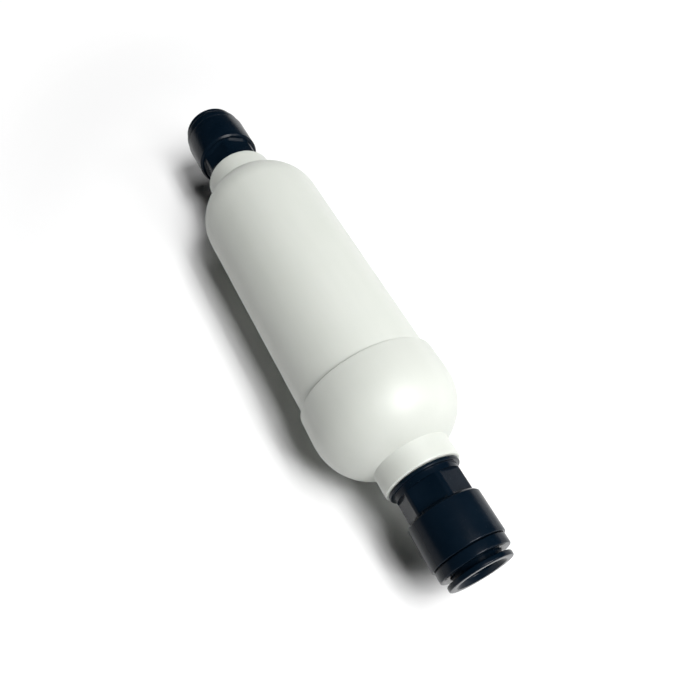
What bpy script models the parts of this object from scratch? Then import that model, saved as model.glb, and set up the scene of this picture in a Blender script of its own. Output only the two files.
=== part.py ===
"""Inline water filter: a sealed carbon cartridge with a 15 mm push-fit connector at each end.

The axis of the filter is the X axis and the origin is the middle of its length.
The inlet, on the end cap, is at +X. The outlet, on the bottle, is at -X.
Every size is in metres.
"""

from math import cos, pi, radians, sin, tau

import bmesh
import bpy
from mathutils import Matrix, Vector

MM = 0.001
GAP = 0.3 * MM  # clearance between pieces that touch

# Overall length, and where the capsule's bosses end
BOSS_END = 80.4 * MM
CONNECTOR_REACH = 35.5 * MM

# Bottle
BOTTLE_RADIUS = 25.5 * MM
BOTTLE_WALL = 2.4 * MM
BOTTLE_MOUTH = 52.0 * MM
SHOULDER_START = -51.9 * MM
SHOULDER_DEPTH = 22.2 * MM

# End cap
LIP_X = 40.9 * MM
LIP_RADIUS = 27.1 * MM
CAP_RADIUS = 27.3 * MM
CAP_DOME_START = 51.4 * MM
CAP_DOME_DEPTH = 23.6 * MM
CAP_FULLNESS = 2.15  # 2 is an ellipse, more is squarer
CAP_INNER_RADIUS = 24.6 * MM
CAP_INNER_DEPTH = 20.6 * MM

# Threaded port, the same in the bottle and in the cap
BOSS_RADIUS = 14.35 * MM
BOSS_EDGE = 0.6 * MM
PORT_RADIUS = 10.5 * MM
PORT_DEPTH = 15.0 * MM
PORT_COLLAR_RADIUS = 13.4 * MM
SEAL_SEAT_RADIUS = 11.7 * MM
SEAL_SEAT_DEPTH = 2.4 * MM

# Connector, measured outwards from the end of the boss
STEM_LENGTH = 12.0 * MM
STEM_RADIUS = 10.2 * MM
STEM_GROOVE_RADIUS = 9.4 * MM
WATERWAY_RADIUS = 6.0 * MM
TUBE_BORE_RADIUS = 7.65 * MM
TUBE_STOP = 6.2 * MM
COLLAR_RADIUS = 13.4 * MM  # thin collar that seats on the end of the boss
COLLAR_END = 1.5 * MM
NECK_RADIUS = 12.0 * MM
FLATS_START = 3.5 * MM
FLATS_ACROSS = 21.5 * MM
BODY_START = 12.5 * MM
BODY_RADIUS = 13.5 * MM
BODY_END = 28.2 * MM
BODY_CHAMFER = 0.8 * MM
SEAL_BORE_RADIUS = 10.15 * MM
SEAL_BORE_START = 15.0 * MM
SKIRT_BORE_RADIUS = 11.5 * MM
SKIRT_BORE_START = 22.2 * MM

# End ring that keeps the collet in
RING_RADIUS = 12.85 * MM
RING_END = 32.1 * MM
SKIRT_RADIUS = 11.2 * MM
RING_BORE_RADIUS = 9.35 * MM
CONE_RADIUS = 10.35 * MM
CONE_LENGTH = 4.0 * MM

# Collet
COLLET_BORE_RADIUS = 7.6 * MM
COLLET_RADIUS = 9.05 * MM
FINGER_TIP = 20.6 * MM
FINGER_HEAD_RADIUS = 9.85 * MM
FINGER_HEAD_END = 22.5 * MM
FINGER_TAPER_END = 25.7 * MM
FINGER_GROOVE_RADIUS = 8.5 * MM
FINGER_GROOVE = (21.4 * MM, 22.7 * MM)
SLOT_WIDTH = 1.2 * MM
SLOT_END = 30.0 * MM
SLOT_PAIRS = 3
FLANGE_BACK = 33.8 * MM
FLANGE_RADIUS = 11.7 * MM
FLANGE_EDGE = 0.4 * MM

# Grab ring
GRAB_TEETH = 12
GRAB_TIP_RADIUS = 7.25 * MM
GRAB_ROOT_RADIUS = 7.8 * MM
GRAB_RADIUS = 8.2 * MM
GRAB_THICKNESS = 0.5 * MM
GRAB_DISH = 0.3 * MM
GRAB_SPLIT = 1.4 * MM

# Seals and washer
TUBE_SEAL_X = 16.6 * MM
TUBE_SEAL_RADIUS = 8.6 * MM
TUBE_SEAL_SECTION = 1.25 * MM
THREAD_SEAL_X = -1.2 * MM
THREAD_SEAL_RADIUS = 10.55 * MM
THREAD_SEAL_SECTION = 0.85 * MM
WASHER_X = 18.15 * MM
WASHER_THICKNESS = 0.8 * MM
WASHER_BORE_RADIUS = 7.8 * MM

# Filter media and its plates
MEDIA_RADIUS = BOTTLE_RADIUS - BOTTLE_WALL - GAP
PLATE_THICKNESS = 2.0 * MM
FELT_THICKNESS = 3.0 * MM
FOAM_THICKNESS = 6.0 * MM
INLET_PLATE_X = 51.4 * MM
OUTLET_PLATE_X = -52.5 * MM
RIB_THICKNESS = 1.6 * MM
RIB_SPAN = 12.9 * MM
HOLE_RADIUS = 1.5 * MM
HOLE_RINGS = ((8, 8.2 * MM), (12, 17.5 * MM))

# The two connectors' spanner flats stop at chance angles when they are screwed home.
# Each angle is of one flat's normal about the filter's axis, from +Z towards +Y.
INLET_FLAT_ANGLE = radians(-23.5)
OUTLET_FLAT_ANGLE = radians(25.6)

SHELL_STEPS = 48
CONNECTOR_STEPS = 40
SMALL_STEPS = 32
SEAL_STEPS = 24
CURVE_STEPS = 7


def clear_scene():
    for thing in list(bpy.data.objects):
        bpy.data.objects.remove(thing, do_unlink=True)


def material(name, colour, roughness, metallic=0.0):
    made = bpy.data.materials.new(name)
    made.use_nodes = True
    shader = made.node_tree.nodes["Principled BSDF"]
    shader.inputs["Base Color"].default_value = (*colour, 1.0)
    shader.inputs["Roughness"].default_value = roughness
    shader.inputs["Metallic"].default_value = metallic
    return made


def add_object(name, bm, finish, parent=None):
    """Turn a bmesh into a named object, smooth where its faces meet gently."""
    bmesh.ops.recalc_face_normals(bm, faces=bm.faces)
    mesh = bpy.data.meshes.new(name)
    bm.to_mesh(mesh)
    bm.free()
    mesh.shade_smooth()
    mesh.set_sharp_from_angle(angle=radians(32))
    mesh.materials.append(finish)
    made = bpy.data.objects.new(name, mesh)
    bpy.context.scene.collection.objects.link(made)
    made.parent = parent
    return made


def turned(name, profile, steps, finish, parent=None):
    """Spin a closed outline of (x, radius) points once round the X axis, with a flat facet underneath."""
    bm = bmesh.new()
    start = pi / steps
    verts = [bm.verts.new((x, radius * sin(start), radius * cos(start))) for x, radius in profile]
    edges = [bm.edges.new((verts[i - 1], verts[i])) for i in range(len(verts))]
    bmesh.ops.spin(
        bm,
        geom=verts + edges,
        cent=(0.0, 0.0, 0.0),
        axis=(1.0, 0.0, 0.0),
        angle=tau,
        steps=steps,
        use_merge=True,
    )
    return add_object(name, bm, finish, parent)


def disc(name, x_low, x_high, radius, steps, finish, parent=None):
    """A plain round slab across the X axis."""
    bm = bmesh.new()
    place = Matrix.Translation(((x_low + x_high) / 2, 0.0, 0.0)) @ Matrix.Rotation(pi / 2, 4, "Y")
    bmesh.ops.create_cone(
        bm,
        cap_ends=True,
        segments=steps,
        radius1=radius,
        radius2=radius,
        depth=x_high - x_low,
        matrix=place,
    )
    return add_object(name, bm, finish, parent)


def box(name, low, high, turn, finish, parent=None):
    """A block given by two corners, then turned about the X axis."""
    bm = bmesh.new()
    size = Vector(high) - Vector(low)
    middle = (Vector(high) + Vector(low)) / 2
    place = Matrix.Rotation(turn, 4, "X") @ Matrix.Translation(middle) @ Matrix.Diagonal((*size, 1.0))
    bmesh.ops.create_cube(bm, size=1.0, matrix=place)
    return add_object(name, bm, finish, parent)


def boolean(target, tool, operation):
    """Combine target with tool, which stays as a hidden guide."""
    tool.hide_render = True
    tool.display_type = "WIRE"
    made = target.modifiers.new(tool.name, "BOOLEAN")
    made.operation = operation
    made.solver = "EXACT"
    made.object = tool


def dome(start, depth, radius, stop_radius, fullness, steps):
    """Points of a dome from its full radius at start to stop_radius; a negative depth faces -X."""
    stop = (1.0 - (stop_radius / radius) ** fullness) ** (1.0 / fullness)
    points = []
    for i in range(steps + 1):
        along = stop * sin(pi / 2 * i / steps)
        points.append((start + depth * along, radius * (1.0 - along**fullness) ** (1.0 / fullness)))
    return points


def ring_section(x, radius, section, corners=8):
    """The round outline of an O-ring."""
    return [
        (x + section * cos(tau * i / corners), radius + section * sin(tau * i / corners))
        for i in range(corners)
    ]


def port_outline(side):
    """The boss's end, seal seat, threaded bore and inner collar, outside first; side is +1 or -1."""
    end = side * BOSS_END
    seat = side * (BOSS_END - SEAL_SEAT_DEPTH)
    inside = side * (BOSS_END - PORT_DEPTH)
    return [
        (end - side * BOSS_EDGE, BOSS_RADIUS),
        (end, BOSS_RADIUS - BOSS_EDGE),
        (end, SEAL_SEAT_RADIUS),
        (seat, SEAL_SEAT_RADIUS),
        (seat, PORT_RADIUS),
        (inside, PORT_RADIUS),
        (inside, PORT_COLLAR_RADIUS),
    ]


def make_bottle(finish):
    inner = BOTTLE_RADIUS - BOTTLE_WALL
    inner_depth = SHOULDER_DEPTH - BOTTLE_WALL
    outside = dome(SHOULDER_START, -SHOULDER_DEPTH, BOTTLE_RADIUS, BOSS_RADIUS, 2, CURVE_STEPS)
    inside = dome(SHOULDER_START, -inner_depth, inner, PORT_COLLAR_RADIUS, 2, CURVE_STEPS - 1)
    mouth_edge = 0.6 * MM
    mouth = [
        (BOTTLE_MOUTH, inner),
        (BOTTLE_MOUTH, BOTTLE_RADIUS - mouth_edge),
        (BOTTLE_MOUTH - mouth_edge, BOTTLE_RADIUS),
    ]
    turned("housing_shell", mouth + outside + port_outline(-1) + inside[::-1], SHELL_STEPS, finish)


def make_cap(finish):
    lip_inner = BOTTLE_RADIUS + GAP
    lip_edge = 0.3 * MM
    seat = BOTTLE_MOUTH + GAP
    fullness = CAP_FULLNESS
    outside = dome(CAP_DOME_START, CAP_DOME_DEPTH, CAP_RADIUS, BOSS_RADIUS, fullness, CURVE_STEPS)
    inside = dome(seat, CAP_INNER_DEPTH, CAP_INNER_RADIUS, PORT_COLLAR_RADIUS, fullness, CURVE_STEPS - 1)
    lip = [
        (seat, lip_inner),
        (LIP_X, lip_inner),
        (LIP_X, LIP_RADIUS - lip_edge),
        (LIP_X + lip_edge, LIP_RADIUS),
    ]
    turned("end_cap", lip + outside + port_outline(1) + inside[::-1], SHELL_STEPS, finish)


def make_plate(name, face_x, side, finish):
    """Perforated plate whose outer face is at face_x, with a cross rib that reaches the port's collar."""
    back = face_x - side * PLATE_THICKNESS
    rib_tip = side * (BOSS_END - PORT_DEPTH - GAP)
    plate = disc(name, min(back, face_x), max(back, face_x), MEDIA_RADIUS, SHELL_STEPS, finish)
    holes = bmesh.new()
    for count, ring_radius in HOLE_RINGS:
        for i in range(count):
            angle = tau * (i + 0.5) / count
            centre = Vector((face_x, ring_radius * sin(angle), ring_radius * cos(angle)))
            bmesh.ops.create_cone(
                holes,
                cap_ends=True,
                segments=8,
                radius1=HOLE_RADIUS,
                radius2=HOLE_RADIUS,
                depth=4 * PLATE_THICKNESS,
                matrix=Matrix.Translation(centre) @ Matrix.Rotation(pi / 2, 4, "Y"),
            )
    boolean(plate, add_object(f"{name}_holes", holes, finish), "DIFFERENCE")
    root = face_x - side * PLATE_THICKNESS / 2
    low = (min(root, rib_tip), -RIB_THICKNESS / 2, -RIB_SPAN)
    high = (max(root, rib_tip), RIB_THICKNESS / 2, RIB_SPAN)
    for i in range(2):
        rib = box(f"{name}_rib_{i + 1}", low, high, i * pi / 2, finish)
        boolean(plate, rib, "UNION")


def make_media(white, foam, carbon):
    """The packed column between the two plates, from the inlet end to the outlet end."""
    inlet_face = INLET_PLATE_X - PLATE_THICKNESS - GAP
    foam_low = inlet_face - FOAM_THICKNESS
    felt_high = foam_low - GAP
    felt_low = felt_high - FELT_THICKNESS
    outlet_face = OUTLET_PLATE_X + PLATE_THICKNESS + GAP
    outlet_felt_high = outlet_face + FELT_THICKNESS
    layers = (
        ("inlet_foam_pad", foam_low, inlet_face, foam),
        ("inlet_felt_pad", felt_low, felt_high, white),
        ("carbon_bed", outlet_felt_high + GAP, felt_low - GAP, carbon),
        ("outlet_felt_pad", outlet_face, outlet_felt_high, white),
    )
    for name, low, high, finish in layers:
        disc(name, low, high, MEDIA_RADIUS, SMALL_STEPS, finish)


def make_connector_body(prefix, frame, flat_angle, finish):
    """Screwed stem, collar, neck with six spanner flats, and the barrel that holds the seal and collet."""
    rim_edge = 0.4 * MM
    stem_edge = 0.6 * MM
    outline = [
        (-STEM_LENGTH, WATERWAY_RADIUS),
        (-STEM_LENGTH, STEM_RADIUS - stem_edge),
        (-STEM_LENGTH + stem_edge, STEM_RADIUS),
        (-SEAL_SEAT_DEPTH, STEM_RADIUS),
        (-SEAL_SEAT_DEPTH, STEM_GROOVE_RADIUS),
        (GAP, STEM_GROOVE_RADIUS),
        (GAP, COLLAR_RADIUS),
        (COLLAR_END - rim_edge, COLLAR_RADIUS),
        (COLLAR_END, COLLAR_RADIUS - rim_edge),
        (COLLAR_END, NECK_RADIUS),
        (BODY_START, NECK_RADIUS),
        (BODY_START, BODY_RADIUS - BODY_CHAMFER),
        (BODY_START + BODY_CHAMFER, BODY_RADIUS),
        (BODY_END - rim_edge, BODY_RADIUS),
        (BODY_END, BODY_RADIUS - rim_edge),
        (BODY_END, SKIRT_BORE_RADIUS),
        (SKIRT_BORE_START, SKIRT_BORE_RADIUS),
        (SKIRT_BORE_START, SEAL_BORE_RADIUS),
        (SEAL_BORE_START, SEAL_BORE_RADIUS),
        (SEAL_BORE_START, TUBE_BORE_RADIUS),
        (TUBE_STOP, TUBE_BORE_RADIUS),
        (TUBE_STOP, WATERWAY_RADIUS),
    ]
    body = turned(f"{prefix}_connector_body", outline, CONNECTOR_STEPS, finish, frame)
    sleeve = bmesh.new()
    loops = []
    for x in (FLATS_START, BODY_START):
        for apothem in (FLATS_ACROSS / 2, FLATS_ACROSS):
            corner = apothem / cos(pi / 6)
            angles = [flat_angle + tau * (i + 0.5) / 6 for i in range(6)]
            loops.append([sleeve.verts.new((x, corner * sin(a), corner * cos(a))) for a in angles])
    near_in, near_out, far_in, far_out = loops
    for first, second in ((near_in, near_out), (near_out, far_out), (far_out, far_in), (far_in, near_in)):
        for i in range(6):
            sleeve.faces.new((first[i - 1], first[i], second[i], second[i - 1]))
    boolean(body, add_object(f"{prefix}_spanner_flats", sleeve, finish, frame), "DIFFERENCE")


def make_end_ring(prefix, frame, finish):
    edge = 0.4 * MM
    skirt_tip = SKIRT_BORE_START + GAP
    shoulder = BODY_END + GAP
    outline = [
        (skirt_tip, CONE_RADIUS),
        (skirt_tip, SKIRT_RADIUS),
        (shoulder, SKIRT_RADIUS),
        (shoulder, RING_RADIUS),
        (RING_END - edge, RING_RADIUS),
        (RING_END, RING_RADIUS - edge),
        (RING_END, RING_BORE_RADIUS + edge),
        (RING_END - edge, RING_BORE_RADIUS),
        (skirt_tip + CONE_LENGTH, RING_BORE_RADIUS),
    ]
    turned(f"{prefix}_end_ring", outline, CONNECTOR_STEPS, finish, frame)


def make_collet(prefix, frame, finish):
    """Split sleeve with barbed fingers inside and a flange outside; it slides along the axis."""
    groove_low, groove_high = FINGER_GROOVE
    outline = [
        (FINGER_TIP, COLLET_BORE_RADIUS),
        (FINGER_TIP, FINGER_HEAD_RADIUS),
        (FINGER_HEAD_END, FINGER_HEAD_RADIUS),
        (FINGER_TAPER_END, COLLET_RADIUS),
        (FLANGE_BACK, COLLET_RADIUS),
        (FLANGE_BACK, FLANGE_RADIUS - FLANGE_EDGE),
        (FLANGE_BACK + FLANGE_EDGE, FLANGE_RADIUS),
        (CONNECTOR_REACH - FLANGE_EDGE, FLANGE_RADIUS),
        (CONNECTOR_REACH, FLANGE_RADIUS - FLANGE_EDGE),
        (CONNECTOR_REACH, COLLET_BORE_RADIUS + FLANGE_EDGE),
        (CONNECTOR_REACH - FLANGE_EDGE, COLLET_BORE_RADIUS),
        (groove_high, COLLET_BORE_RADIUS),
        (groove_high, FINGER_GROOVE_RADIUS),
        (groove_low, FINGER_GROOVE_RADIUS),
        (groove_low, COLLET_BORE_RADIUS),
    ]
    collet = turned(f"{prefix}_collet", outline, CONNECTOR_STEPS, finish, frame)
    low = (FINGER_TIP - 1 * MM, -SLOT_WIDTH / 2, -2 * COLLET_RADIUS)
    high = (SLOT_END, SLOT_WIDTH / 2, 2 * COLLET_RADIUS)
    for i in range(SLOT_PAIRS):
        slot = box(f"{prefix}_collet_slot_{i + 1}", low, high, pi * (i + 0.25) / SLOT_PAIRS, finish, frame)
        boolean(collet, slot, "DIFFERENCE")


def make_grab_ring(prefix, frame, finish):
    """Thin split ring whose inner edge is cut into teeth that lean inwards along the axis."""
    middle = sum(FINGER_GROOVE) / 2
    half_split = GRAB_SPLIT / 2 / GRAB_RADIUS
    pitch = (tau - 2 * half_split) / GRAB_TEETH
    bm = bmesh.new()
    inner, outer = [], []
    for i in range(2 * GRAB_TEETH + 1):
        angle = half_split + pitch * i / 2
        is_tip = i % 2 == 1
        radius = GRAB_TIP_RADIUS if is_tip else GRAB_ROOT_RADIUS
        lean = -GRAB_DISH if is_tip else 0.0
        inner.append(bm.verts.new((middle + lean, radius * sin(angle), radius * cos(angle))))
        outer.append(bm.verts.new((middle, GRAB_RADIUS * sin(angle), GRAB_RADIUS * cos(angle))))
    faces = []
    for i in range(1, len(inner)):
        faces.append(bm.faces.new((inner[i - 1], inner[i], outer[i], outer[i - 1])))
    extruded = bmesh.ops.extrude_face_region(bm, geom=faces, use_keep_orig=True)
    moved = [part for part in extruded["geom"] if isinstance(part, bmesh.types.BMVert)]
    bmesh.ops.translate(bm, verts=moved, vec=(GRAB_THICKNESS, 0.0, 0.0))
    add_object(f"{prefix}_grab_ring", bm, finish, frame)


def make_seals(prefix, frame, rubber, plastic):
    tube_seal = ring_section(TUBE_SEAL_X, TUBE_SEAL_RADIUS, TUBE_SEAL_SECTION)
    thread_seal = ring_section(THREAD_SEAL_X, THREAD_SEAL_RADIUS, THREAD_SEAL_SECTION)
    washer = [
        (WASHER_X, WASHER_BORE_RADIUS),
        (WASHER_X, SEAL_BORE_RADIUS - GAP),
        (WASHER_X + WASHER_THICKNESS, SEAL_BORE_RADIUS - GAP),
        (WASHER_X + WASHER_THICKNESS, WASHER_BORE_RADIUS),
    ]
    turned(f"{prefix}_tube_o_ring", tube_seal, SEAL_STEPS, rubber, frame)
    turned(f"{prefix}_thread_o_ring", thread_seal, SEAL_STEPS, rubber, frame)
    turned(f"{prefix}_spacer_washer", washer, SMALL_STEPS, plastic, frame)


def make_connector(prefix, side, flat_angle, black, rubber, steel, plastic):
    """Everything in one push-fit connector, on a frame at the end of its boss that faces outwards."""
    frame = bpy.data.objects.new(f"{prefix}_connector_frame", None)
    bpy.context.scene.collection.objects.link(frame)
    frame.location = (side * BOSS_END, 0.0, 0.0)
    frame.rotation_euler = (0.0, 0.0, 0.0 if side > 0 else pi)
    make_connector_body(prefix, frame, side * flat_angle, black)
    make_end_ring(prefix, frame, black)
    make_collet(prefix, frame, black)
    make_grab_ring(prefix, frame, steel)
    make_seals(prefix, frame, rubber, plastic)


def main():
    clear_scene()
    white_shell = material("white_shell", (0.80, 0.82, 0.80), 0.42)
    black_acetal = material("black_acetal", (0.012, 0.014, 0.018), 0.35)
    black_rubber = material("black_rubber", (0.015, 0.015, 0.015), 0.7)
    steel = material("stainless_steel", (0.62, 0.61, 0.59), 0.3, 1.0)
    white_nylon = material("white_nylon", (0.75, 0.74, 0.70), 0.5)
    felt = material("white_felt", (0.82, 0.81, 0.78), 0.95)
    foam = material("grey_foam", (0.18, 0.19, 0.20), 0.95)
    carbon = material("granular_carbon", (0.02, 0.02, 0.021), 0.85)

    make_bottle(white_shell)
    make_cap(white_shell)
    make_plate("inlet_diffuser_plate", INLET_PLATE_X, 1, white_nylon)
    make_plate("outlet_support_plate", OUTLET_PLATE_X, -1, white_nylon)
    make_media(felt, foam, carbon)
    make_connector("inlet", 1, INLET_FLAT_ANGLE, black_acetal, black_rubber, steel, white_nylon)
    make_connector("outlet", -1, OUTLET_FLAT_ANGLE, black_acetal, black_rubber, steel, white_nylon)


main()
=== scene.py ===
"""Looks of the inline water filter: fine turned meshes, real threads, granules and felt,
procedural materials, a white studio table, and the camera.

The filter's axis is X, its middle is the origin, and the inlet end cap is at +X.
Lengths are written in millimetres and turned into metres by MM.
"""

from math import cos, exp, log, pi, radians, sin, tan, tau
import bmesh
import bpy
import numpy as np
from mathutils import Matrix, Vector, noise


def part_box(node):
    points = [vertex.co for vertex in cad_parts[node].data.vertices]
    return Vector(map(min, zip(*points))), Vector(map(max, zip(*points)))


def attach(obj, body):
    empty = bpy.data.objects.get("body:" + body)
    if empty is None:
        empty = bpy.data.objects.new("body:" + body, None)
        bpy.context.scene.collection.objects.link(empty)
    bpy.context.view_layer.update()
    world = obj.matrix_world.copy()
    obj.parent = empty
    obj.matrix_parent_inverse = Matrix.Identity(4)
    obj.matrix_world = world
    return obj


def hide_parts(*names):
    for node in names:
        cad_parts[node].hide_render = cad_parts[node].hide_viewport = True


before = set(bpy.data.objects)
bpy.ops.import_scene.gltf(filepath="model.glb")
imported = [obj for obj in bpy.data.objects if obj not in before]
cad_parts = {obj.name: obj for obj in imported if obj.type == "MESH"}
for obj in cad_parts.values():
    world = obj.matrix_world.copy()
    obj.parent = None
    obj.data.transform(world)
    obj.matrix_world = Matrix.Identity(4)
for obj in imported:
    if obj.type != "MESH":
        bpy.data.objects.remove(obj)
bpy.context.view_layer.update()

MM = 0.001
ROUNDING = 1e-9  # more than a mesh coordinate's rounding error
ROOT = "filter_body"

# Lengths that come from the frame
BOSS_END = -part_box("housing_shell")[0].x
LIP_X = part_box("end_cap")[0].x
BOTTLE_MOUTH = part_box("housing_shell")[1].x
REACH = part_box("inlet_collet")[1].x - BOSS_END  # of the collet, from the end of the boss

# Capsule
GAP = 0.3 * MM
BOTTLE_RADIUS = 25.5 * MM
BOTTLE_WALL = 2.4 * MM
SHOULDER_START = -51.9 * MM
SHOULDER_DEPTH = 22.2 * MM
SHOULDER_FULLNESS = 2.0  # 2 is an ellipse, and more is fuller
LIP_RADIUS = 27.1 * MM
CAP_RADIUS = 27.3 * MM
CAP_DOME_START = 51.4 * MM
CAP_DOME_DEPTH = 23.6 * MM
CAP_FULLNESS = 2.15
CAP_INNER_RADIUS = 24.6 * MM
CAP_INNER_DEPTH = 20.6 * MM
BOSS_RADIUS = 14.35 * MM
PORT_RADIUS = 10.5 * MM
PORT_DEPTH = 15.0 * MM
PORT_COLLAR_RADIUS = 13.4 * MM
SEAL_SEAT_RADIUS = 11.7 * MM
SEAL_SEAT_DEPTH = 2.4 * MM
PORT_THREAD_MARGIN = 0.5 * MM  # plain bore at each end of the port's thread

# Half-inch pipe thread, the stem's a clearance inside the port's
THREAD_PITCH = 1.814 * MM
THREAD_HEIGHT = 0.85 * MM
THREAD_RIDGE = (1.4, 4.4)  # peak before it is cut off at 1, and slope of the flanks
THREAD_ROWS = 8  # mesh rows in one pitch

# Connector, measured outwards from the end of the boss
STEM_LENGTH = 12.0 * MM
STEM_RADIUS = 10.2 * MM
STEM_TIP_LENGTH = 1.0 * MM
STEM_TIP_DROP = 0.6 * MM  # how far the tip tapers in from the thread's crest
STEM_GROOVE_RADIUS = 9.4 * MM
WATERWAY_RADIUS = 6.0 * MM
TUBE_BORE_RADIUS = 7.65 * MM
TUBE_STOP = 6.2 * MM
COLLAR_RADIUS = 13.4 * MM
COLLAR_END = 1.5 * MM
NECK_RADIUS = 12.0 * MM
FLATS_START = 3.5 * MM
FLATS_ACROSS = 21.5 * MM
FLAT_SILL = 0.02 * MM  # each flat starts with a step this long
FLAT_RUNOUT = 0.9 * MM  # each flat ends in a 45 degree ramp this long
FLAT_BLEND = 0.03 * MM
BODY_START = 12.5 * MM
BODY_RADIUS = 13.5 * MM
BODY_CHAMFER = 0.75 * MM
BODY_END = 28.2 * MM
SEAL_BORE_RADIUS = 10.15 * MM
SEAL_BORE_START = 15.0 * MM
SKIRT_BORE_RADIUS = 11.5 * MM
SKIRT_BORE_START = 22.2 * MM
RING_RADIUS = 12.85 * MM
RING_END = 32.1 * MM
SKIRT_RADIUS = 11.2 * MM
RING_BORE_RADIUS = 9.35 * MM
CONE_RADIUS = 10.35 * MM
CONE_LENGTH = 4.0 * MM
COLLET_BORE_RADIUS = 7.6 * MM
COLLET_RADIUS = 9.05 * MM
FINGER_TIP = 20.6 * MM
FINGER_HEAD_RADIUS = 9.85 * MM
FINGER_HEAD_END = 22.5 * MM
FINGER_TAPER_END = 25.7 * MM
FINGER_GROOVE_RADIUS = 8.5 * MM
FINGER_GROOVE = (21.4 * MM, 22.7 * MM)
SLOT_WIDTH = 1.2 * MM
SLOT_END = 30.0 * MM
SLOT_PAIRS = 3
SLOT_TURN = 0.25  # first slot's angle, in parts of the angle between slots
SLOT_OVERRUN = 1.0 * MM  # the slots' cutter starts this far outside the finger tips
FLANGE_BACK = 33.8 * MM
FLANGE_RADIUS = 11.7 * MM
LEAD_IN = 1.6 * MM
FLAT_ANGLES = {"inlet": radians(-23.5), "outlet": radians(25.6)}  # from +Z towards +Y
SIDES = {"inlet": 1, "outlet": -1}

# Grab ring
GRAB_TEETH = 12
GRAB_TOOTH_RIDGE = (1.25, 3.6)  # peak before it is cut off at 1, and slope of the flanks
GRAB_TIP_RADIUS = 7.25 * MM
GRAB_ROOT_RADIUS = 7.8 * MM
GRAB_RADIUS = 8.2 * MM
GRAB_THICKNESS = 0.5 * MM
GRAB_DISH = 0.3 * MM
GRAB_SPLIT = 1.4 * MM
GRAB_RIM = 0.6  # thickness at the two rims, in parts of the thickness between them

# Seals and washer
TUBE_SEAL_X = 16.6 * MM
TUBE_SEAL_RADIUS = 8.6 * MM
TUBE_SEAL_SECTION = 1.25 * MM
THREAD_SEAL_X = -1.2 * MM
THREAD_SEAL_RADIUS = 10.55 * MM
THREAD_SEAL_SECTION = 0.85 * MM
PARTING_RIDGE = 0.03  # height, as a part of the section's radius
PARTING_BAND = 0.02
WASHER_X = 18.15 * MM
WASHER_THICKNESS = 0.8 * MM
WASHER_BORE_RADIUS = 7.8 * MM

# Filter media and its plates
MEDIA_RADIUS = BOTTLE_RADIUS - BOTTLE_WALL - GAP
PLATE_THICKNESS = 2.0 * MM
PLATE_EDGE = 0.3 * MM  # rounded edges and countersinks
INLET_PLATE_X = 51.4 * MM
OUTLET_PLATE_X = -52.5 * MM
RIB_THICKNESS = 1.6 * MM
RIB_SPAN = 12.9 * MM
HOLE_RADIUS = 1.5 * MM
HOLE_RINGS = ((8, 8.2 * MM), (12, 17.5 * MM))
SIDE_BAND = 0.03  # outer part of a layer's radius that is rough
FACE_BAND = 0.05  # outer part of a layer's thickness that is rough
FELT_RELIEF = 0.12 * MM
FELT_TUFT = 1.3 * MM
FOAM_RELIEF = 0.45 * MM
FOAM_CELL = 1.7 * MM
CARBON_RELIEF = 0.9 * MM
CARBON_GRAIN = 1.9 * MM
CARBON_FACET = 0.7 * MM
CARBON_FACET_SHARE = 0.075  # of the relief
CREVICE_SLOPE = 2.2  # the higher, the narrower the crevices between grains

# Mesh fineness
WELD_DISTANCE = 0.001 * MM
SHARP_ANGLE = radians(35)
SHELL_STEPS = 160
CONNECTOR_STEPS = 240
RING_STEPS = 120
SMALL_STEPS = 96
SECTION_STEPS = 24
TOOTH_STEPS = 12
HOLE_STEPS = 24
DOME_STEPS = 28
ARC_STEPS = 4
FILLET_LIMIT = 0.49  # most of an edge that one fillet takes up

# Camera and light
CAMERA_AIM = Vector((24.2, 1.4, 0.4)) * MM
CAMERA_AZIMUTH = radians(62.57)
CAMERA_ELEVATION = radians(57.6)
CAMERA_DISTANCE = 252.2 * MM
CAMERA_LENS = 34.59
CAMERA_SENSOR = 36.0
CAMERA_NEAREST = 10 * MM
FLOOR_SIZE = 8.0
SOFTBOXES = (  # name, centre, size, power, lights matt surfaces, shows in glossy ones
    ("key", (0.72, 0.20, 1.20), (0.50, 0.30), 6.4, True, True),
    ("near", (0.60, 0.23, 0.48), (0.12, 0.10), 0.6, True, True),
    ("top", (0.40, 0.20, 1.20), (0.30, 0.30), 3.9, True, True),
    ("strip", (0.46, 0.25, 0.75), (0.50, 0.15), 4.1, True, True),
    ("middle", (0.15, 0.25, 0.75), (0.10, 0.15), 1.1, True, False),
    ("side", (0.00, 0.50, 1.20), (0.30, 0.30), 1.2, True, False),
    ("far", (-0.15, 0.27, 0.75), (0.30, 0.40), 1.1, True, False),
    ("right", (0.50, 0.60, 0.60), (0.20, 0.20), 1.0, True, False),
    ("glint", (0.50, 0.40, 0.75), (0.12, 0.12), 4.2, False, True),
    ("flats", (0.62, 0.95, 0.75), (0.20, 0.20), 2.7, False, True),
)
# Painted light: the table glows, faintly near the filter and brightly far away.
PAINTED_GLOW = ((0.11, 0.0), (0.21, 0.27), (0.90, 1.0))  # distance from the filter's middle, brightness
PAINTED_GLOW_SCALE = (0.6, 1.0, 0.0)  # distances count for less along the filter


# ---------------------------------------------------------------- meshes


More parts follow.
